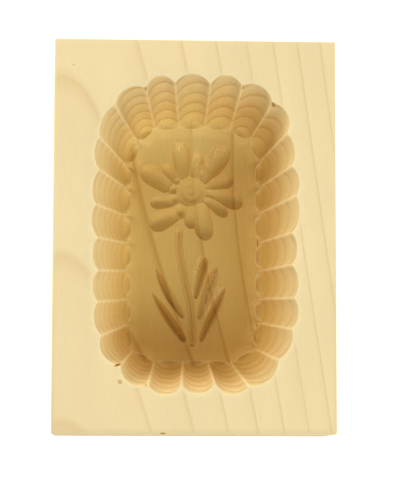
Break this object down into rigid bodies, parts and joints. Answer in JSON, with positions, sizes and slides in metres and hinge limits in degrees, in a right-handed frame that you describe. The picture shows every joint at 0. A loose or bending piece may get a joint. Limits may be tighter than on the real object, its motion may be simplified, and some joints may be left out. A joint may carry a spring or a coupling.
{
  "type": "butter mould",
  "caption": "Wooden butter mould: a single rectangular block with an oblong recess, gouged scoops round its wall and a daisy sunk into its floor.",
  "frame": {"origin": "middle of the block's flat back, the face opposite the carving", "axes": "+Z out of the carved face, +Y along the block's length to the end nearer the flower, +X across its width"},
  "size_m": [0.1146, 0.16, 0.045],
  "materials": {
    "maple": "pale sanded maple, bare and unvarnished, with faint brown growth rings"
  },
  "bodies": {
    "root": {"mould_block": "maple"}
  },
  "joints": []
}
